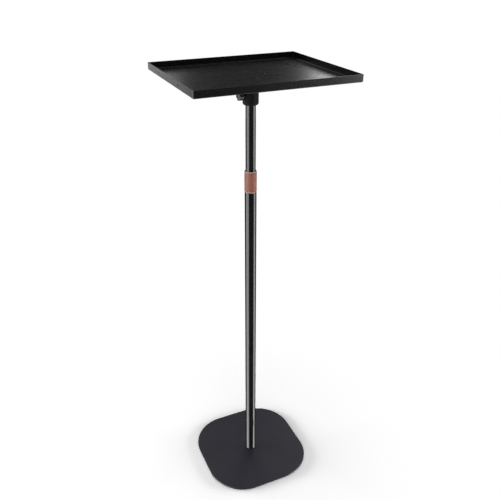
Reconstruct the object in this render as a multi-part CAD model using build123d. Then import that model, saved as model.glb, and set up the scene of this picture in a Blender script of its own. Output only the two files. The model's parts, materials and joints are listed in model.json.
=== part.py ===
from build123d import *
import os
from math import cos, radians, sin, sqrt

# Portable projector stand: a heavy base plate, a two-stage pole with a twist lock and a shallow tray.
# Millimetres, +Z up. The origin is on the floor under the pole. The tray's long side lies along X,
# its front edge faces -Y, and the clamp knob of its socket points to -X.

# Fits between pieces, as radial or end gaps
fit_gap = 0.05
thread_gap = 0.05
slide_gap = 0.15
guide_gap = 0.2
seat_gap = 0.2
screw_gap = 0.2
flush_drop = 0.1
cut_overrun = 1.0

# Base plate and its pads
base_side = 305.0
base_corner_radius = 105.0
base_thickness = 6.0
base_top_round = 1.6
base_bottom_chamfer = 0.6
pad_height = 2.0
pad_diameter = 28.0
pad_edge_chamfer = 0.5
pad_inset = 62.0

# Countersunk screw and tapped plug that hold the pole to the plate
base_screw_diameter = 8.0
base_screw_head_diameter = 16.0
base_screw_hex = 5.0
base_screw_hex_depth = 3.0
base_screw_tip_gap = 2.0
foot_plug_height = 20.0

# Pole
upper_tube_outer = 25.0
upper_tube_wall = 1.2
upper_tube_length = 660.0
lower_tube_wall = 1.2
lower_tube_length = 865.6
tube_end_chamfer = 0.3
exposed_length = 162.0

# Twist lock: a slotted sleeve in the lower tube's mouth and the turned collar over it
lock_sleeve_wall = 1.1
lock_sleeve_depth = 45.0
lock_shoulder = 0.5
lock_cone_step = 0.9
lock_slot_width = 1.6
lock_slot_length = 30.0
lock_slot_count = 4
collar_gap = 0.4
collar_height = 54.0
collar_wall = 1.0
collar_clearance = 0.1
collar_lip_height = 5.0
collar_top_chamfer = 1.0
collar_bottom_chamfer = 0.6
collar_groove_width = 0.8
collar_groove_depth = 0.3
collar_groove_inset = 2.6

# Guide plug in the lower end of the upper tube
end_plug_ring_height = 12.0
end_plug_spigot_height = 20.0
end_plug_wall = 2.0

# Moulded socket under the tray
socket_length = 66.0
socket_wall = 6.35
socket_top_wall = 10.0
socket_bottom_round = 5.0
socket_mouth_chamfer = 1.0
flange_diameter = 96.0
flange_thickness = 6.0
flange_edge_round = 1.5
flange_root_round = 3.0
gusset_count = 4
gusset_thickness = 4.0
gusset_drop = 22.0
gusset_edge_inset = 8.0

# Tray, a folded sheet with welded corners
tray_length = 390.0
tray_width = 330.0
tray_rim_height = 17.0
tray_sheet = 1.5
tray_bend_radius = 1.0
tray_corner_radius = 1.5
tray_rim_edge_round = 0.4
rim_hole_diameter = 5.0
rim_hole_spacing = 140.0

# Thread-forming screws that hold the tray to the flange
tray_screw_diameter = 3.5
tray_screw_head_diameter = 6.5
tray_screw_edge_inset = 11.0
tray_screw_tip_gap = 1.0
tray_screw_hex = 2.0
tray_screw_hex_depth = 1.0
tray_screw_sides = ["right", "back", "left", "front"]

# Clamp screw and knob
clamp_height = 25.5
clamp_screw_diameter = 6.0
clamp_tip_diameter = 4.0
clamp_tip_length = 1.5
clamp_insert_diameter = 10.0
clamp_insert_length = 5.0
knob_diameter = 28.0
knob_thickness = 11.0
knob_lobes = 8
knob_rest_turn = -10.0
knob_groove_radius = 3.9
knob_groove_depth = 2.2
knob_lobe_round = 1.4
knob_face_round = 2.0
knob_back_round = 0.8
knob_hub_diameter = 12.0
knob_hub_length = 1.5
knob_hub_gap = 1.0
knob_recess_diameter = 13.0
knob_recess_depth = 0.8
knob_screw_depth = 8.0

# Diameters that follow from the fits
upper_tube_inner = upper_tube_outer - 2 * upper_tube_wall
lock_bore = upper_tube_outer + 2 * slide_gap
lock_spigot_outer = lock_bore + 2 * lock_sleeve_wall
lower_tube_inner = lock_spigot_outer + 2 * fit_gap
lower_tube_outer = lower_tube_inner + 2 * lower_tube_wall
lock_neck_outer = lower_tube_inner + 2 * lock_shoulder
collar_bore = lock_neck_outer + 2 * collar_clearance
collar_outer = collar_bore + 2 * collar_wall
collar_lip_bore = upper_tube_outer + 2 * guide_gap
socket_bore = upper_tube_outer + 2 * slide_gap
socket_outer = socket_bore + 2 * socket_wall

# Heights, from the floor up
plate_top = pad_height + base_thickness
lower_tube_top = plate_top + lower_tube_length
collar_bottom = lower_tube_top + collar_gap
collar_top = collar_bottom + collar_height
collar_cone_top = collar_top - collar_lip_height
collar_cone_bottom = collar_cone_top - (collar_bore - collar_lip_bore) / 2
socket_bottom = collar_top + exposed_length
clamp_axis_z = socket_bottom + clamp_height
tray_underside = socket_bottom + socket_length
tray_floor = tray_underside + tray_sheet
flange_underside = tray_underside - flange_thickness
upper_tube_top = tray_underside - socket_top_wall - seat_gap
upper_tube_bottom = upper_tube_top - upper_tube_length

# Distances from the pole's axis along the clamp screw
clamp_tip_reach = upper_tube_outer / 2 + slide_gap
clamp_insert_reach = socket_outer / 2 - clamp_insert_length
knob_hub_reach = socket_outer / 2 + knob_hub_gap
knob_reach = knob_hub_reach + knob_hub_length


def turned(*points):
    """A solid of revolution about Z from the corners of its half section, as radius and height."""
    section = make_face(Plane.XZ * Polyline(*points, close=True))
    return revolve(section, Axis.Z)


def ring(outer, inner, bottom, height):
    """A plain ring about Z, given by its diameters."""
    return Pos(0, 0, bottom) * extrude(Circle(outer / 2) - Circle(inner / 2), height)


def disc(diameter, bottom, height):
    return Pos(0, 0, bottom) * extrude(Circle(diameter / 2), height)


def tube(outer, inner, bottom, length):
    """A straight tube along Z with both ends deburred."""
    body = ring(outer, inner, bottom, length)
    return chamfer(body.edges().filter_by(GeomType.CIRCLE), tube_end_chamfer)


def countersunk_screw(diameter, head_diameter, length, hex_size, hex_depth):
    """A flat-head socket screw: its head's face at the origin, its shank along -Z."""
    shank, head = diameter / 2, head_diameter / 2
    body = turned((0, 0), (head, 0), (shank, shank - head), (shank, -length), (0, -length))
    return body - extrude(RegularPolygon(hex_size / 2, 6, major_radius=False), -hex_depth)


def countersunk_hole(diameter, head_diameter, length, gap):
    """The hole for such a screw: the same cone and shank, grown by the gap and open above."""
    shank, head = diameter / 2 + gap, head_diameter / 2 + gap
    mouth, above = head + cut_overrun, cut_overrun
    return turned((0, above), (mouth, above), (shank, shank - head), (shank, -length), (0, -length))


def upside_down(shape):
    return Rot(180, 0, 0) * shape


def along_clamp(shape, reach):
    """Lays a shape built along +Z on the clamp's axis, its foot at this distance from the pole's axis."""
    return Pos(-reach, 0, clamp_axis_z) * Rot(0, -90, 0) * shape


# Base

def make_base_plate():
    plate = extrude(RectangleRounded(base_side, base_side, base_corner_radius), base_thickness)
    plate = fillet(plate.edges().group_by(Axis.Z)[-1], base_top_round)
    plate = chamfer(plate.edges().group_by(Axis.Z)[0], base_bottom_chamfer)
    through = base_thickness + cut_overrun
    hole = countersunk_hole(base_screw_diameter, base_screw_head_diameter, through, screw_gap)
    return Pos(0, 0, pad_height) * (plate - upside_down(hole))


def make_foot_pads():
    """Four pads stuck under the plate, near its rounded corners."""
    offset = base_side / 2 - pad_inset
    pad = disc(pad_diameter, 0, pad_height)
    pad = chamfer(pad.edges().group_by(Axis.Z)[0], pad_edge_chamfer)
    corners = {"front_left": (-1, -1), "front_right": (1, -1), "back_left": (-1, 1), "back_right": (1, 1)}
    return {f"foot_pad_{name}": Pos(x * offset, y * offset) * pad for name, (x, y) in corners.items()}


def make_base_screw():
    head_z = pad_height + flush_drop
    length = plate_top + foot_plug_height - base_screw_tip_gap - head_z
    screw = countersunk_screw(
        base_screw_diameter, base_screw_head_diameter, length, base_screw_hex, base_screw_hex_depth
    )
    return Pos(0, 0, head_z) * upside_down(screw)


def make_pole_foot_plug():
    """The tapped plug welded into the lower tube's foot."""
    outer = lower_tube_inner - 2 * fit_gap
    return ring(outer, base_screw_diameter + 2 * thread_gap, plate_top, foot_plug_height)


def make_lower_tube():
    return tube(lower_tube_outer, lower_tube_inner, plate_top, lower_tube_length)


# Twist lock

def make_lock_insert():
    """The sleeve in the lower tube's mouth, with a slotted neck that closes on the upper tube."""
    bore, spigot, neck = lock_bore / 2, lock_spigot_outer / 2, lock_neck_outer / 2
    foot = lower_tube_top - lock_sleeve_depth
    cone_bottom = collar_cone_bottom - collar_clearance
    neck_top = cone_bottom + lock_cone_step
    sleeve = turned(
        (bore, foot), (spigot, foot), (spigot, lower_tube_top), (neck, lower_tube_top),
        (neck, cone_bottom), (neck - lock_cone_step, neck_top), (bore, neck_top),
    )
    slot = Pos(neck, 0, neck_top - lock_slot_length / 2) * Box(2 * neck, lock_slot_width, lock_slot_length)
    return sleeve - [Rot(0, 0, k * 360 / lock_slot_count) * slot for k in range(lock_slot_count)]


def make_twist_collar():
    """The turned ring that screws down over the neck and closes it with an inner cone."""
    outer, bore, lip = collar_outer / 2, collar_bore / 2, collar_lip_bore / 2
    collar = turned(
        (bore, collar_bottom), (outer - collar_bottom_chamfer, collar_bottom),
        (outer, collar_bottom + collar_bottom_chamfer), (outer, collar_top - collar_top_chamfer),
        (outer - collar_top_chamfer, collar_top), (lip, collar_top), (lip, collar_cone_top),
        (bore, collar_cone_bottom),
    )
    groove_floor = collar_outer - 2 * collar_groove_depth
    low_groove = collar_bottom + collar_groove_inset
    high_groove = collar_top - collar_groove_inset - collar_groove_width
    for bottom in (low_groove, high_groove):
        collar -= ring(collar_outer + 2 * cut_overrun, groove_floor, bottom, collar_groove_width)
    return collar


# Mast

def make_upper_tube():
    return tube(upper_tube_outer, upper_tube_inner, upper_tube_bottom, upper_tube_length)


def make_mast_end_plug():
    """The guide plug that centres the upper tube's lower end and stops it at the lock."""
    spigot_outer = upper_tube_inner - 2 * fit_gap
    bore = spigot_outer - 2 * end_plug_wall
    guide_bottom = upper_tube_bottom - end_plug_ring_height
    guide = ring(lower_tube_inner - 2 * guide_gap, bore, guide_bottom, end_plug_ring_height)
    return guide + ring(spigot_outer, bore, upper_tube_bottom, end_plug_spigot_height)


# Tray

def tray_screw_places():
    """Where the tray's screws stand: on a circle in the flange, heads just under the floor's face."""
    radius = flange_diameter / 2 - tray_screw_edge_inset
    turns = [radians(k * 360 / len(tray_screw_sides)) for k in range(len(tray_screw_sides))]
    return [Pos(radius * cos(turn), radius * sin(turn), tray_floor - flush_drop) for turn in turns]


def tray_screw_holes():
    length = tray_sheet + flange_thickness + cut_overrun
    hole = countersunk_hole(tray_screw_diameter, tray_screw_head_diameter, length, thread_gap)
    return [place * hole for place in tray_screw_places()]


def make_tray_pan():
    """A sheet folded up on four sides, its corners welded, with a pair of holes in the left wall."""
    outer_corner = tray_corner_radius + tray_sheet
    outside = extrude(RectangleRounded(tray_length, tray_width, outer_corner), tray_rim_height)
    outside = fillet(outside.edges().group_by(Axis.Z)[0], tray_bend_radius + tray_sheet)
    inner_length, inner_width = tray_length - 2 * tray_sheet, tray_width - 2 * tray_sheet
    inside = extrude(RectangleRounded(inner_length, inner_width, tray_corner_radius), tray_rim_height)
    inside = fillet(inside.edges().group_by(Axis.Z)[0], tray_bend_radius)
    pan = outside - Pos(0, 0, tray_sheet) * inside
    pan = fillet(pan.edges().group_by(Axis.Z)[-1], tray_rim_edge_round)
    rim_hole = Rot(0, 90, 0) * Cylinder(rim_hole_diameter / 2, 2 * (tray_sheet + cut_overrun))
    for side in (-1, 1):
        pan -= Pos(-tray_length / 2, side * rim_hole_spacing / 2, tray_rim_height / 2) * rim_hole
    return Pos(0, 0, tray_underside) * pan - tray_screw_holes()


def make_tray_screws():
    length = tray_sheet + flange_thickness - flush_drop - tray_screw_tip_gap
    screw = countersunk_screw(
        tray_screw_diameter, tray_screw_head_diameter, length, tray_screw_hex, tray_screw_hex_depth
    )
    return {f"tray_screw_{side}": place * screw for side, place in zip(tray_screw_sides, tray_screw_places())}


def make_pole_socket():
    """The moulded socket: a boss with a blind bore, a round flange and gussets between its screws."""
    boss = disc(socket_outer, socket_bottom, socket_length)
    boss = fillet(boss.edges().group_by(Axis.Z)[0], socket_bottom_round)
    flange = disc(flange_diameter, flange_underside, flange_thickness)
    flange = fillet(flange.edges().group_by(Axis.Z)[0], flange_edge_round)
    socket = boss + flange
    corners = socket.edges().filter_by(GeomType.CIRCLE)
    root = corners.filter_by_position(Axis.Z, flange_underside, flange_underside).sort_by(SortBy.RADIUS)[0]
    socket = fillet(root, flange_root_round)
    inner, tip = socket_bore / 2 + socket_wall / 2, flange_diameter / 2 - gusset_edge_inset
    middle, foot = flange_underside + flange_thickness / 2, flange_underside - gusset_drop
    outline = Polyline(
        (inner, middle), (tip, middle), (tip, flange_underside), (socket_outer / 2, foot), (inner, foot),
        close=True,
    )
    gusset = extrude(make_face(Plane.XZ * outline), gusset_thickness / 2, both=True)
    for k in range(gusset_count):
        socket += Rot(0, 0, (k + 0.5) * 360 / gusset_count) * gusset
    bore, seat = socket_bore / 2, tray_underside - socket_top_wall
    mouth = bore + socket_mouth_chamfer
    socket -= turned(
        (0, socket_bottom), (mouth, socket_bottom), (bore, socket_bottom + socket_mouth_chamfer),
        (bore, seat), (0, seat),
    )
    socket -= along_clamp(disc(clamp_screw_diameter + 2 * screw_gap, 0, socket_outer), 0)
    socket -= along_clamp(disc(clamp_insert_diameter, 0, socket_outer), clamp_insert_reach)
    return socket - tray_screw_holes()


# Clamp

def make_clamp_insert():
    """The thread insert pressed into the socket's wall, just below the boss's round face."""
    radius = socket_outer / 2
    round_off = radius - sqrt(radius ** 2 - (clamp_insert_diameter / 2) ** 2)
    outer = clamp_insert_diameter - 2 * fit_gap
    body = ring(outer, clamp_screw_diameter + 2 * thread_gap, 0, clamp_insert_length - round_off)
    return along_clamp(body, clamp_insert_reach)


def make_clamp_screw():
    """The stud in the knob, with a dog point that bears on the upper tube."""
    shank_reach = clamp_tip_reach + clamp_tip_length
    shank_length = knob_reach + knob_screw_depth - shank_reach
    tip = along_clamp(disc(clamp_tip_diameter, 0, clamp_tip_length), clamp_tip_reach)
    return tip + along_clamp(disc(clamp_screw_diameter, 0, shank_length), shank_reach)


def make_clamp_knob():
    """A lobed grip with a recessed face, a hub towards the socket and a blind hole for the stud."""
    groove_circle = knob_diameter / 2 + knob_groove_radius - knob_groove_depth
    groove = Pos(groove_circle, 0) * Circle(knob_groove_radius)
    outline = Circle(knob_diameter / 2)
    for k in range(knob_lobes):
        outline -= Rot(0, 0, (k + 0.5) * 360 / knob_lobes + knob_rest_turn) * groove
    outline = fillet(outline.vertices(), knob_lobe_round)
    grip = extrude(outline, knob_thickness)
    grip = fillet(grip.edges().group_by(Axis.Z)[-1], knob_face_round)
    grip = fillet(grip.edges().group_by(Axis.Z)[0], knob_back_round)
    grip -= disc(knob_recess_diameter, knob_thickness - knob_recess_depth, knob_recess_depth)
    grip += disc(knob_hub_diameter, -knob_hub_length, knob_hub_length)
    stud_hole = clamp_screw_diameter + 2 * fit_gap
    grip -= disc(stud_hole, -knob_hub_length, knob_hub_length + knob_screw_depth + seat_gap)
    return along_clamp(grip, knob_reach)


pieces = {
    "base_plate": make_base_plate(),
    **make_foot_pads(),
    "base_screw": make_base_screw(),
    "pole_foot_plug": make_pole_foot_plug(),
    "lower_tube": make_lower_tube(),
    "lock_insert": make_lock_insert(),
    "twist_collar": make_twist_collar(),
    "upper_tube": make_upper_tube(),
    "mast_end_plug": make_mast_end_plug(),
    "tray_pan": make_tray_pan(),
    **make_tray_screws(),
    "pole_socket": make_pole_socket(),
    "clamp_insert": make_clamp_insert(),
    "clamp_screw": make_clamp_screw(),
    "clamp_knob": make_clamp_knob(),
}

os.makedirs("parts", exist_ok=True)
for name, shape in pieces.items():
    export_step(shape, f"parts/{name}.step")
print(f"{len(pieces)} pieces, tray floor at {tray_floor:.1f} mm, clamp axis at {clamp_axis_z:.1f} mm")
print(f"lower tube {lower_tube_outer:.1f}, collar {collar_outer:.1f}, socket {socket_outer:.1f} mm across")
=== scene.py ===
# %% [markdown]
# A portable projector stand: a heavy base plate, a two-stage pole with a copper-coloured twist collar, and
# a shallow tray held on the pole by a moulded socket and a clamp knob.
#
# The shapes arrive finished from the CAD model, so this lesson is about looks: a camera that repeats the
# photograph's viewpoint, a small studio that suits gloss black, one procedural finish for each material,
# and a thread for the clamp stud. Everything is in metres, in the CAD model's own frame, with the origin on
# the floor under the pole.

# %% Load the stand
import json
from math import atan2, cos, pi, radians, sin, tan

import bmesh
import bpy
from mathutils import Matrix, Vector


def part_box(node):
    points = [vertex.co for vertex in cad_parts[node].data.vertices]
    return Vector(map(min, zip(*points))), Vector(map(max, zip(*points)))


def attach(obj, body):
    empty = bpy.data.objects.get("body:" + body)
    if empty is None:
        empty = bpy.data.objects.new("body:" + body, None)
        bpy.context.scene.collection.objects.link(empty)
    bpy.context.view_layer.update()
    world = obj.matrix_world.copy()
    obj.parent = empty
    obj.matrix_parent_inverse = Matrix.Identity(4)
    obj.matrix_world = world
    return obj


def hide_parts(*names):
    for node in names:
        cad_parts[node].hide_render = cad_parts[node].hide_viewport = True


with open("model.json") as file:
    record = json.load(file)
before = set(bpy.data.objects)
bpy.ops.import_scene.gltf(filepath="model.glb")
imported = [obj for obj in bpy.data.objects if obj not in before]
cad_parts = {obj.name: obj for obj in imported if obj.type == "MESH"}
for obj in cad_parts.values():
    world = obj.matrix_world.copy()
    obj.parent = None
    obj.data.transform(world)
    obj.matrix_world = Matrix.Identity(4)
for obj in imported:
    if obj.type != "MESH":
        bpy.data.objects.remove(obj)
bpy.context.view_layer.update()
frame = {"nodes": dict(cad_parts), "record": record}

scene = bpy.context.scene

# %% [markdown]
# The camera stands a little to the left of the tray's front and looks down on it. Its place was worked out
# from the photograph: the corners of the tray, the ends of the collar and the outline of the base each fix
# a direction, and one pinhole camera has to see them all. Blender could track the stand with a constraint,
# but a written height, distance, heading and pitch are easier to check against that sum. The studio's cards
# and lamps are placed around the pole by the same rule, so it is a helper.

# %% Camera
photo_side = 500
focal_pixels = 591.0
sensor_width = 36.0
camera_distance = 1.3766
camera_height = 1.4286
camera_side = radians(23.93)
camera_pitch = radians(27.64)
pole_right_of_middle = 0.64


def around_pole(turn, distance, height, aside=0.0):
    """A place at this angle and distance from the pole, moved aside to the right as one faces the pole."""
    x = -distance * sin(turn) + aside * cos(turn)
    y = -distance * cos(turn) - aside * sin(turn)
    return x, y, height


def make_camera():
    lens = bpy.data.cameras.new("photo_camera")
    lens.sensor_width = sensor_width
    lens.lens = focal_pixels / photo_side * sensor_width
    camera = bpy.data.objects.new("photo_camera", lens)
    heading = camera_side - atan2(pole_right_of_middle, focal_pixels)
    camera.location = around_pole(camera_side, camera_distance, camera_height)
    camera.rotation_euler = (pi / 2 - camera_pitch, 0, -heading)
    scene.collection.objects.link(camera)
    scene.camera = camera
    return camera


camera = make_camera()
scene.view_settings.view_transform = "Standard"
print("lens", round(camera.data.lens, 2), "mm, camera at", [round(x, 3) for x in camera.location])

# %% [markdown]
# The surround, the floor, the cards and the finishes are all networks of nodes. They could be clicked
# together in the shader editor, but in code the wiring can be read and changed like everything else. Written
# out, every number and every wire of a node takes a line of its own, so this helper holds the common moves:
# add a node with its numbers, wire it, join two values, and map one range of values to another.

# %% Node networks
class Network:
    """The nodes of a world or a material, and short ways to add and wire them."""

    def __init__(self, owner):
        owner.use_nodes = True
        self.tree = owner.node_tree
        self.nodes = self.tree.nodes

    def add(self, kind, **inputs):
        """A new shader node of this kind, with these numbers on its sockets."""
        node = self.nodes.new("ShaderNode" + kind)
        for socket, value in inputs.items():
            node.inputs[socket].default_value = value
        return node

    def link(self, output, socket):
        self.tree.links.new(output, socket)

    def combine(self, operation, first, second):
        """Two values joined by an operation of the Math node."""
        joined = self.add("Math")
        joined.operation = operation
        self.link(first, joined.inputs[0])
        self.link(second, joined.inputs[1])
        return joined.outputs[0]

    def between(self, value, low, high, at_low, at_high):
        """A value from low to high, turned into one from at_low to at_high."""
        limits = {"From Min": low, "From Max": high, "To Min": at_low, "To Max": at_high}
        span = self.add("MapRange", **limits)
        self.link(value, span.inputs["Value"])
        return span.outputs["Result"]

    def surface(self, shader):
        """Shows a shader on the surface that wears the material."""
        self.link(shader.outputs[0], self.nodes["Material Output"].inputs["Surface"])


print("node helper ready")

# %% [markdown]
# The photograph has a white surround. The world is white to the camera and to reflections, at strength 1,
# and dimmer as a light, so that white doesn't wash out the black finishes. The Light Path node tells the
# two apart: it says which kind of ray is asking.

# %% White surround
ambient_strength = 0.26


def make_world():
    world = bpy.data.worlds.new("white_surround")
    network = Network(world)
    background = network.nodes["Background"]
    background.inputs["Color"].default_value = (1, 1, 1, 1)
    asking = network.add("LightPath").outputs
    seen = network.combine("MAXIMUM", asking["Is Camera Ray"], asking["Is Glossy Ray"])
    seen = network.combine("MAXIMUM", seen, asking["Is Transmission Ray"])
    network.link(network.between(seen, 0, 1, ambient_strength, 1), background.inputs["Strength"])
    scene.world = world


make_world()
print("white surround, lighting at", ambient_strength)

# %% [markdown]
# The floor is a wide white sheet that keeps the soft shadows beside the base. Near the stand it is diffuse,
# and the camera alone sees it a little whiter than it is, so that the lit floor is as white as the surround.
# Further out it fades to an even white, again for the camera alone, so that no horizon shows.

# %% Floor
floor_half_side = 12.0
floor_white = 0.8
floor_white_to_camera = 1.40
fade_start, fade_end = 0.2, 0.6


def new_mesh_object(name, corners, faces):
    mesh = bpy.data.meshes.new(name)
    mesh.from_pydata(corners, [], faces)
    made = bpy.data.objects.new(name, mesh)
    scene.collection.objects.link(made)
    return made


def studio_material(piece, name):
    """A material for a piece of the studio, as a network that still has no shader."""
    material = bpy.data.materials.new(name)
    piece.data.materials.append(material)
    network = Network(material)
    network.nodes.remove(network.nodes["Principled BSDF"])
    return network


def make_floor():
    side = floor_half_side
    corners = [(-side, -side, 0), (side, -side, 0), (side, side, 0), (-side, side, 0)]
    floor = new_mesh_object("floor", corners, [(0, 1, 2, 3)])
    network = studio_material(floor, "floor_white")
    to_camera = network.add("LightPath").outputs["Is Camera Ray"]
    paper = network.add("BsdfDiffuse")
    whiteness = network.between(to_camera, 0, 1, floor_white, floor_white_to_camera)
    network.link(whiteness, paper.inputs["Color"])
    even_white = network.add("Emission")
    reach = network.add("VectorMath")
    reach.operation = "LENGTH"
    network.link(network.add("TexCoord").outputs["Object"], reach.inputs[0])
    fade = network.between(reach.outputs["Value"], fade_start, fade_end, 0, 1)
    fade.node.interpolation_type = "SMOOTHSTEP"
    mix = network.add("MixShader")
    network.link(network.combine("MULTIPLY", fade, to_camera), mix.inputs["Fac"])
    network.link(paper.outputs[0], mix.inputs[1])
    network.link(even_white.outputs[0], mix.inputs[2])
    network.surface(mix)
    floor.visible_glossy = False


make_floor()
print("floor fades to even white from", fade_start, "to", fade_end, "m")

# %% [markdown]
# Gloss black shows only what it mirrors. Product photographers stand tall glowing panels left and right of
# a black tube, for two long highlights, and black cards between them, for the dark middle and the dark
# edges. Each panel or card here is a piece of a wall around the pole, which goes far below the floor: a
# camera that looks down sees the tubes mirror what is low, and the floor is left out of reflections. A
# piece lies between two angles, in degrees to the left of the camera, and between two heights, and has its
# own glow. Its near side is the one towards the camera, and neighbours share a side.
#
# The panels end a little above the tray, so that the base plate doesn't mirror them when it is seen from a
# side. The right panel's head is wider than the rest of it, for a sheen on the right end of the tray's
# front wall. The edge cards end below the tray, whose side wall needs the white surround behind them. The
# tall back card darkens the middle of the tray's floor, and the sheen panel beside it puts a gleam on the
# floor's right end. All are seen in reflections only, so they neither light the floor nor block a lamp.

# %% Panels and cards
wall_radius = 2.6
wall_bottom, wall_top = -4.5, 2.4
panel_shoulder, panel_top = 0.5, 1.3
edge_card_top = 0.35
back_card_top = 3.2
sheen_bottom = 1.4
panel_glow, sheen_glow = 4.4, 2.4
front_glow, side_glow = 0.04, 0.02
degrees_per_step = 4
left_panel_near, left_panel_far, left_card_far, left_edge_far = 36, 96, 132, 169
right_panel_near, right_panel_far, right_card_far, right_edge_far = -66, -104, -142, -171
right_head_near, sheen_near = -61, -148
cards = {
    "left_panel": (left_panel_near, left_panel_far, wall_bottom, panel_top, panel_glow),
    "right_panel": (right_panel_far, right_panel_near, wall_bottom, panel_shoulder, panel_glow),
    "right_panel_head": (right_panel_far, right_head_near, panel_shoulder, panel_top, panel_glow),
    "front_card": (right_panel_near, left_panel_near, wall_bottom, panel_shoulder, front_glow),
    "front_card_head": (right_head_near, left_panel_near, panel_shoulder, wall_top, front_glow),
    "left_card": (left_panel_far, left_card_far, wall_bottom, wall_top, side_glow),
    "right_card": (right_card_far, right_panel_far, wall_bottom, wall_top, side_glow),
    "left_edge_card": (left_card_far, left_edge_far, wall_bottom, edge_card_top, side_glow),
    "right_edge_card": (right_edge_far, right_card_far, wall_bottom, edge_card_top, side_glow),
    "back_card": (left_edge_far, 360 + right_edge_far, wall_bottom, back_card_top, front_glow),
    "sheen_panel": (right_edge_far, sheen_near, sheen_bottom, wall_top, sheen_glow),
}


def left_of_camera(degrees):
    """The angle around the pole of a place this far to the left of the camera."""
    return radians(degrees) + camera_side


def make_card(name, start, end, bottom, top, glow):
    steps = round((end - start) / degrees_per_step)
    corners = []
    for k in range(steps + 1):
        turn = left_of_camera(start + (end - start) * k / steps)
        corners += [around_pole(turn, wall_radius, z) for z in (bottom, top)]
    faces = [(2 * k, 2 * k + 1, 2 * k + 3, 2 * k + 2) for k in range(steps)]
    card = new_mesh_object(name, corners, faces)
    network = studio_material(card, name)
    network.surface(network.add("Emission", Strength=glow))
    card.visible_camera = False
    card.visible_diffuse = False
    card.visible_shadow = False


for name, card in cards.items():
    make_card(name, *card)
print("cards", {name: card[:2] for name, card in cards.items()})

# %% [markdown]
# The light comes from the same two sides, low over the floor. Each side lamp throws the base plate's short
# soft shadow to the other side, where the photograph has its grey patches. The tray is higher than the
# lamps, so it throws no shadow on the floor. A wide, low area lamp does this better than a sun: its width
# blurs away the pole's own thin shadow, and its height lets the plate's shadow fade out softly. A third,
# weaker lamp in front lifts the middle of the collar, which the side lamps only graze. Each lamp has its
# angle, in degrees to the left of the camera, and its power in watts.

# %% Lamps
lamp_width, lamp_height = 2.6, 0.8
lamp_distance = 3.2
lamp_elevation = radians(8.5)
side_angle = 97
lamps = {"left_lamp": (side_angle, 172), "right_lamp": (-side_angle, 125), "front_lamp": (0, 50)}


def make_lamp(name, degrees, watts):
    light = bpy.data.lights.new(name, "AREA")
    light.shape = "RECTANGLE"
    light.size = lamp_width
    light.size_y = lamp_height
    light.energy = watts
    lamp = bpy.data.objects.new(name, light)
    turn = left_of_camera(degrees)
    lamp.location = around_pole(turn, lamp_distance, lamp_distance * tan(lamp_elevation))
    lamp.rotation_euler = (pi / 2 - lamp_elevation, 0, -turn)
    lamp.visible_camera = False
    lamp.visible_glossy = False
    scene.collection.objects.link(lamp)


for name, (degrees, watts) in lamps.items():
    make_lamp(name, degrees, watts)
print("lamps", lamps)

# %% [markdown]
# Lit from both sides, the collar is much brighter at its edges than in its middle, but the photograph shows
# it almost even. A weaker lamp would cost the floor its shadows, so this does what a photographer does: a
# flag, a small card close to the collar, hides most of each side lamp from it. The tubes' ends beside the
# collar lie in the same shade, but gloss black doesn't show that. Only shadow rays see the flags, and they
# hang about as high as the tops of the lamps, so no shadow of a flag falls on the floor in view.

# %% Flags
flag_half_width = 0.08
flag_distance = 0.25
flag_below_collar, flag_above_collar = 0.08, 0.01


def make_flag(name, degrees):
    low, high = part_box("twist_collar")
    turn = left_of_camera(degrees)
    corners = []
    for z in (low.z - flag_below_collar, high.z + flag_above_collar):
        for aside in (-flag_half_width, flag_half_width):
            corners.append(around_pole(turn, flag_distance, z, aside))
    flag = new_mesh_object(name, corners, [(0, 1, 3, 2)])
    flag.visible_camera = False
    flag.visible_diffuse = False
    flag.visible_glossy = False


for name, degrees in (("left_flag", side_angle), ("right_flag", -side_angle)):
    make_flag(name, degrees)
print("flags", flag_distance, "m from the pole")

# %% [markdown]
# A finish is a small network of texture nodes that ends in one Principled shader. Its constants go straight
# on the shader, and its colour, roughness and bump come from noise in object coordinates: they are metres
# here, so a grain of half a millimetre is written as 0.0005. Noise runs from 0 to 1 but seldom leaves the
# middle, so its low and high end are set a little inside. The Mix node keeps a pair of sockets for each kind
# of value, and those for colours are told by their numbers. This helper holds the few moves that every
# finish on the stand repeats.

# %% Finish helper
noise_low, noise_high = 0.3, 0.7
mix_under, mix_over, mix_result = 6, 7, 2


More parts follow.
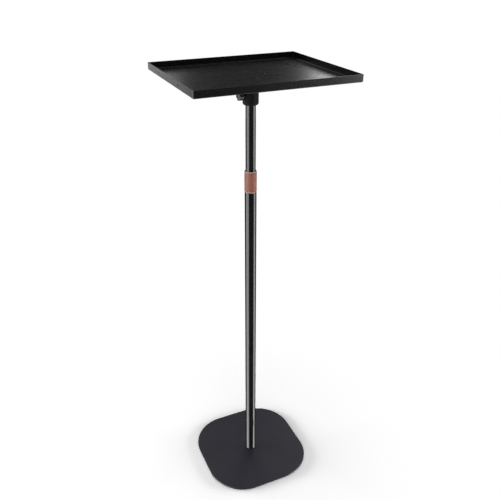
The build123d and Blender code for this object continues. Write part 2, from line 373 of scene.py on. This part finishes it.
class Finish(Network):
    """One finish: a material, its shader, and short ways to lead textures into it."""

    def __init__(self, name, constants):
        self.name = name
        self.material = bpy.data.materials.new(name)
        super().__init__(self.material)
        self.shader = self.nodes["Principled BSDF"]
        for socket, value in constants.items():
            self.shader.inputs[socket].default_value = value

    def grain(self, size, detail=2.0, stretch=(1, 1, 1)):
        """Noise with lumps of about this size, drawn out along X, Y and Z by these factors."""
        coordinates = self.add("TexCoord")
        mapping = self.add("Mapping", Scale=[1 / factor for factor in stretch])
        noise = self.add("TexNoise", Scale=1 / size, Detail=detail)
        self.link(coordinates.outputs["Object"], mapping.inputs["Vector"])
        self.link(mapping.outputs["Vector"], noise.inputs["Vector"])
        return noise.outputs["Fac"]

    def shades(self, value, *stops):
        """Colours along a value, as (position, colour) pairs."""
        ramp = self.add("ValToRGB")
        elements = ramp.color_ramp.elements
        while len(elements) < len(stops):
            elements.new(1.0)
        for element, (position, colour) in zip(elements, stops):
            element.position = position
            element.color = (*colour, 1)
        self.link(value, ramp.inputs["Fac"])
        return ramp.outputs["Color"]

    def clouds(self, size, dark, light, detail=3.0):
        """A colour that drifts between two shades, in clouds of about this size."""
        return self.shades(self.grain(size, detail), (noise_low, dark), (noise_high, light))

    def drift(self, size, low, high, detail=3.0):
        """A number that drifts between two values, in patches of about this size."""
        return self.between(self.grain(size, detail), noise_low, noise_high, low, high)

    def over(self, share, under, colour):
        """A colour laid over another where the share is 1."""
        mix = self.add("Mix")
        mix.data_type = "RGBA"
        self.link(share, mix.inputs["Factor"])
        self.link(under, mix.inputs[mix_under])
        mix.inputs[mix_over].default_value = (*colour, 1)
        return mix.outputs[mix_result]

    def colour(self, output):
        self.link(output, self.shader.inputs["Base Color"])

    def roughness(self, output):
        self.link(output, self.shader.inputs["Roughness"])

    def relief(self, height, depth):
        """Bump from a 0 to 1 height, this deep in metres."""
        bump = self.add("Bump", Distance=depth)
        self.link(height, bump.inputs["Height"])
        self.link(bump.outputs["Normal"], self.shader.inputs["Normal"])


finishes = {}


def keep(finish):
    """Files a finish under the name of its material slot."""
    finishes[finish.name] = finish.material
    print(finish.name, "is a network of", len(finish.nodes), "nodes")


print("finish helper ready")

# %% [markdown]
# The tubes are gloss black enamel. A perfect mirror would look like glass, so the roughness drifts a little
# and the coat has the faint waviness of sprayed paint, about 6 mm from crest to crest. Handling leaves fine
# marks along the tube, drawn here as noise stretched far along Z.

# %% Tube enamel
enamel_dark, enamel_light = (0.006, 0.006, 0.007), (0.010, 0.010, 0.011)
enamel_cloud = 0.06
enamel_smooth, enamel_rough = 0.12, 0.17
mark_width, mark_stretch = 0.0015, 80
marks_start, marks_full = 0.35, 0.75
wave_length, wave_height = 0.006, 0.000004


def tube_enamel():
    enamel = Finish("tube_enamel", {"Specular IOR Level": 0.5})
    enamel.colour(enamel.clouds(enamel_cloud, enamel_dark, enamel_light, detail=2.0))
    marks = enamel.grain(mark_width, stretch=(1, 1, mark_stretch))
    enamel.roughness(enamel.between(marks, marks_start, marks_full, enamel_smooth, enamel_rough))
    enamel.relief(enamel.grain(wave_length, detail=1.0), wave_height)
    return enamel


keep(tube_enamel())

# %% [markdown]
# The collar is turned aluminium, anodised copper. A metallic shader would tint its highlights, but dull
# anodising is a dyed skin that scatters its colour and keeps a grey sheen on top, so this is a coloured,
# non-metallic coat. The lathe marks are fine rings, so the relief is noise that changes along Z only. The
# thin light rings at both ends are painted highlights: a pale colour laid over a narrow band at each end,
# where the end chamfers catch the light. A mask over the collar's height finds them.

# %% Collar copper
copper_dark, copper_light = (0.226, 0.079, 0.052), (0.257, 0.092, 0.062)
copper_cloud, copper_patch = 0.02, 0.004
copper_smooth, copper_rough = 0.60, 0.68
# Painted highlight: the pale colour laid over a narrow band at each end of the collar, and the band's width.
ring_highlight_paint = (0.85, 0.70, 0.63)
highlight_ring_width = 0.0012
highlight_ring_full = 0.8 * highlight_ring_width
lathe_pitch, lathe_depth = 0.0003, 0.0000015
lathe_stretch = 1000


def collar_copper():
    low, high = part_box("twist_collar")
    copper = Finish("collar_copper", {"Specular IOR Level": 0.65})
    place = copper.add("SeparateXYZ")
    copper.link(copper.add("TexCoord").outputs["Object"], place.inputs["Vector"])

    # A mask for the band at one end of the collar, where the painted highlight goes.
    def ring(end, inward):
        starts, full = end + inward * highlight_ring_width, end + inward * highlight_ring_full
        return copper.between(place.outputs["Z"], starts, full, 0, 1)

    # Painted highlights: the pale colour covers the bands at the top and bottom ends.
    rings = copper.combine("MAXIMUM", ring(high.z, -1), ring(low.z, 1))
    anodised = copper.clouds(copper_cloud, copper_dark, copper_light, detail=2.0)
    copper.colour(copper.over(rings, anodised, ring_highlight_paint))
    copper.roughness(copper.drift(copper_patch, copper_smooth, copper_rough))
    lathe_marks = copper.grain(lathe_pitch, detail=1.0, stretch=(lathe_stretch, lathe_stretch, 1))
    copper.relief(lathe_marks, lathe_depth)
    return copper


keep(collar_copper())

# %% [markdown]
# Use rubs a finish thin along its edges. Wear could be painted by hand, but then it has to be painted again
# whenever a shape changes, so this helper finds the edges by itself. The Bevel node gives the normal that a
# face would have if its edges were rounded: wherever that leans away from the real normal, an edge is near.
# The dot product of the two measures the lean, and is 1 where they agree. Noise breaks the line into
# patches, because nothing wears evenly.

# %% Worn edges
lean_starts, lean_full = 0.985, 0.9
patch_starts, patch_full = 0.42, 0.62


def worn_edges(finish, radius, patch):
    """1 on rubbed edges, within this radius and in patches of about this size, and 0 elsewhere."""
    rounded = finish.add("Bevel", Radius=radius)
    geometry = finish.add("NewGeometry")
    agree = finish.add("VectorMath")
    agree.operation = "DOT_PRODUCT"
    finish.link(rounded.outputs["Normal"], agree.inputs[0])
    finish.link(geometry.outputs["Normal"], agree.inputs[1])
    edge = finish.between(agree.outputs["Value"], lean_starts, lean_full, 0, 1)
    patches = finish.between(finish.grain(patch, detail=4.0), patch_starts, patch_full, 0, 1)
    return finish.combine("MULTIPLY", edge, patches)


print("worn edges ready")

# %% [markdown]
# The base plate has a matte powder coat with a fine, pebbly grain and a faint violet tint. Powder coat is
# melted dust, so its grain is a noise of about half a millimetre in the relief, with a lighter speck here
# and there. Shoes rub the rim, so the rounded edge is a little lighter.

# %% Base coat
base_shades = [
    (0.35, (0.0185, 0.017, 0.025)),
    (0.62, (0.0245, 0.023, 0.0325)),
    (0.80, (0.0365, 0.035, 0.0455)),
]
base_worn = (0.075, 0.074, 0.08)
base_speck, base_patch = 0.0009, 0.03
base_edge, base_wear = 0.002, 0.006
base_smooth, base_rough = 0.34, 0.42
powder_grain, base_depth = 0.0006, 0.00006


def base_coat():
    coat = Finish("base_coat", {"Specular IOR Level": 0.28})
    specks = coat.shades(coat.grain(base_speck, detail=3.0), *base_shades)
    coat.colour(coat.over(worn_edges(coat, base_edge, base_wear), specks, base_worn))
    coat.roughness(coat.drift(base_patch, base_smooth, base_rough, detail=4.0))
    coat.relief(coat.grain(powder_grain), base_depth)
    return coat


keep(base_coat())

# %% [markdown]
# The tray has the same kind of coat in black and smoother, so that its walls and floor carry a soft sheen.
# Things lifted on and off rub the rim, so its edges show through a little lighter. Little powder reaches the
# underside, so it is dull: faces whose normal points down get a higher roughness, and then they don't
# mirror the white surround when the tray is seen from below.

# %% Tray coat
tray_shades = [
    (0.35, (0.004, 0.004, 0.0044)),
    (0.65, (0.006, 0.006, 0.0066)),
    (0.82, (0.011, 0.011, 0.012)),
]
tray_worn = (0.03, 0.03, 0.031)
tray_speck, tray_patch = 0.0008, 0.09
tray_edge, tray_wear = 0.0012, 0.005
tray_smooth, tray_rough = 0.26, 0.29
tray_depth = 0.00003
underside_starts, underside_full = -0.3, -0.8
underside_dullness = 0.55


def dull_underside(finish):
    """Added roughness for faces that look at the floor, and none for walls and tops."""
    geometry = finish.add("NewGeometry")
    facing = finish.add("SeparateXYZ")
    finish.link(geometry.outputs["Normal"], facing.inputs["Vector"])
    return finish.between(facing.outputs["Z"], underside_starts, underside_full, 0, underside_dullness)


def tray_coat():
    coat = Finish("tray_coat", {"Specular IOR Level": 0.45})
    specks = coat.shades(coat.grain(tray_speck, detail=3.0), *tray_shades)
    coat.colour(coat.over(worn_edges(coat, tray_edge, tray_wear), specks, tray_worn))
    sheen = coat.drift(tray_patch, tray_smooth, tray_rough)
    coat.roughness(coat.combine("ADD", sheen, dull_underside(coat)))
    coat.relief(coat.grain(powder_grain), tray_depth)
    return coat


keep(tray_coat())

# %% [markdown]
# The socket, the lock sleeve and the guide plug are moulded in black nylon. The mould is spark-eroded, which
# leaves a very fine even grain, and the plastic's flow leaves broad, barely visible clouds.

# %% Moulded nylon
nylon_dark, nylon_light = (0.004, 0.004, 0.0043), (0.007, 0.007, 0.0074)
nylon_worn = (0.022, 0.022, 0.0225)
nylon_flow, nylon_patch = 0.018, 0.008
nylon_edge, nylon_wear = 0.0015, 0.004
nylon_smooth, nylon_rough = 0.62, 0.72
spark_grain, spark_depth = 0.0004, 0.00002


def moulded_nylon():
    nylon = Finish("moulded_nylon", {"Specular IOR Level": 0.1})
    flow = nylon.clouds(nylon_flow, nylon_dark, nylon_light)
    nylon.colour(nylon.over(worn_edges(nylon, nylon_edge, nylon_wear), flow, nylon_worn))
    nylon.roughness(nylon.drift(nylon_patch, nylon_smooth, nylon_rough))
    nylon.relief(nylon.grain(spark_grain, detail=1.0), spark_depth)
    return nylon


keep(moulded_nylon())

# %% [markdown]
# The knob is a harder, smoother plastic, and fingers polish its lobes: where an edge is worn the roughness
# drops, so the lobes catch bright lines.

# %% Knob plastic
knob_dark, knob_light = (0.009, 0.009, 0.010), (0.015, 0.015, 0.016)
knob_worn = (0.05, 0.05, 0.052)
knob_flow = 0.01
knob_edge, knob_wear = 0.002, 0.003
knob_plain, knob_polished = 0.2, 0.14
knob_grain, knob_depth = 0.0005, 0.000012


def knob_plastic():
    plastic = Finish("knob_plastic", {"Specular IOR Level": 0.8})
    worn = worn_edges(plastic, knob_edge, knob_wear)
    flow = plastic.clouds(knob_flow, knob_dark, knob_light)
    plastic.colour(plastic.over(worn, flow, knob_worn))
    plastic.roughness(plastic.between(worn, 0, 1, knob_plain, knob_polished))
    plastic.relief(plastic.grain(knob_grain, detail=1.0), knob_depth)
    return plastic


keep(knob_plastic())

# %% [markdown]
# The four pads under the base plate are rubber: dark, dull and dusty, with a coarse skin. They hardly show,
# so a noise each for the dust, the dullness and the skin is enough, with no worn edges.

# %% Pad rubber
rubber_clean, rubber_dusty = (0.018, 0.018, 0.018), (0.045, 0.044, 0.042)
dust_size, dust_full = 0.003, 0.75
rubber_patch = 0.002
rubber_smooth, rubber_rough = 0.78, 0.92
skin_grain, skin_depth = 0.0008, 0.00008


def pad_rubber():
    rubber = Finish("pad_rubber", {"Specular IOR Level": 0.3})
    dust = rubber.grain(dust_size, detail=4.0)
    rubber.colour(rubber.shades(dust, (noise_low, rubber_clean), (dust_full, rubber_dusty)))
    rubber.roughness(rubber.drift(rubber_patch, rubber_smooth, rubber_rough))
    rubber.relief(rubber.grain(skin_grain, detail=3.0), skin_depth)
    return rubber


keep(pad_rubber())

# %% [markdown]
# The metals that show least: zinc-plated steel for the base screw, its plug and the clamp stud, black oxide
# for the tray's screws, and turned brass for the thread insert. One function makes all three, because only
# the colours, the roughness and the grain differ. Where an edge is rubbed, the metal is brighter than its
# light shade.

# %% Screw metals
metal_cloud, metal_patch = 0.004, 0.0015
metal_edge, metal_wear = 0.0006, 0.002
metal_depth = 0.000006
rubbed_gain, rubbed_lift = 1.5, 0.05
metals = {
    "screw_steel": ((0.5, 0.5, 0.52), (0.62, 0.62, 0.63), 0.28, 0.4, 0.0004),
    "black_screw": ((0.04, 0.04, 0.043), (0.07, 0.07, 0.072), 0.35, 0.5, 0.0003),
    "insert_brass": ((0.55, 0.4, 0.16), (0.68, 0.5, 0.22), 0.25, 0.38, 0.0003),
}


def screw_metal(name, dark, light, smooth, rough, grain):
    metal = Finish(name, {"Metallic": 1.0})
    tone = metal.clouds(metal_cloud, dark, light, detail=4.0)
    rubbed = [min(1.0, rubbed_gain * part + rubbed_lift) for part in light]
    metal.colour(metal.over(worn_edges(metal, metal_edge, metal_wear), tone, rubbed))
    metal.roughness(metal.drift(metal_patch, smooth, rough, detail=4.0))
    metal.relief(metal.grain(grain), metal_depth)
    return metal


for name, look in metals.items():
    keep(screw_metal(name, *look))

# %% [markdown]
# The clamp stud is M6 threaded rod with a turned point that bears on the upper tube, and a little of it
# shows between the socket and the knob. The CAD model keeps it as a plain cylinder, so this mesh takes its
# place, inside the same size. A Screw modifier could sweep one tooth, but its open ends are hard to close.
# Rings of points are simpler: each point asks how far it is from the helix's crest and takes its radius
# from that, and the thread runs out to the core over one pitch at both ends. The flats at crest and root are
# an eighth and a quarter of the pitch, as on any metric thread.

# %% Clamp stud
thread_pitch = 0.001
thread_depth = 0.00054
crest_flat, root_flat = 0.125, 0.25
rings_per_pitch = 12
points_around = 36
point_length, point_radius, point_chamfer = 0.0015, 0.002, 0.0003
sharp_angle = radians(35)


def thread_radius(core, along, turn, length):
    """Radius of the threaded part at a distance along it and an angle around it."""
    phase = (along / thread_pitch - turn / (2 * pi)) % 1.0
    from_crest = 2 * min(phase, 1 - phase)
    flank = (from_crest - crest_flat) / (1 - crest_flat - root_flat)
    run_out = min(1.0, along / thread_pitch, (length - along) / thread_pitch)
    return core + thread_depth * run_out * (1 - min(1.0, max(0.0, flank)))


def make_clamp_stud():
    low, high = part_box("clamp_screw")
    middle = (low + high) / 2
    core = (high.z - low.z) / 2 - thread_depth
    length = high.x - low.x - point_length
    mesh = bmesh.new()

    def ring(along, radius_at):
        corners = []
        for k in range(points_around):
            turn = 2 * pi * k / points_around
            radius = radius_at(turn)
            y, z = middle.y + radius * cos(turn), middle.z - radius * sin(turn)
            corners.append(mesh.verts.new((high.x - along, y, z)))
        return corners

    rings = [ring(0, lambda turn: point_radius - point_chamfer)]
    rings.append(ring(point_chamfer, lambda turn: point_radius))
    rings.append(ring(point_length, lambda turn: point_radius))
    count = round(length / thread_pitch * rings_per_pitch)
    for k in range(count + 1):
        along = length * k / count
        rings.append(ring(point_length + along, lambda turn: thread_radius(core, along, turn, length)))
    for first, second in zip(rings, rings[1:]):
        for k in range(points_around):
            mesh.faces.new((first[k - 1], first[k], second[k], second[k - 1]))
    mesh.faces.new(rings[0])
    mesh.faces.new(rings[-1])
    bmesh.ops.recalc_face_normals(mesh, faces=mesh.faces)
    stud = new_mesh_object("clamp_stud_thread", [], [])
    mesh.to_mesh(stud.data)
    mesh.free()
    stud.data.shade_smooth()
    stud.data.set_sharp_from_angle(angle=sharp_angle)
    stud.data.materials.append(finishes["screw_steel"])
    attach(stud, "clamp_stud")
    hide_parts("clamp_screw")
    return stud


clamp_stud = make_clamp_stud()
print("clamp stud", len(clamp_stud.data.polygons), "faces")

# %% [markdown]
# Every CAD piece names its material slot in the record, so dressing the stand is one loop. The shapes stay
# as they are: only the material in each piece's slot is exchanged. The base plate is left out of
# reflections, as the floor is, so that the tubes' highlights run right down to the foot, as they do in the
# photograph.

# %% Dress the pieces
def dress():
    for part in frame["record"]["subparts"]:
        piece = frame["nodes"][part["node"]]
        piece.material_slots[0].material = finishes[part["material_slot"]]
    frame["nodes"]["base_plate"].visible_glossy = False


dress()
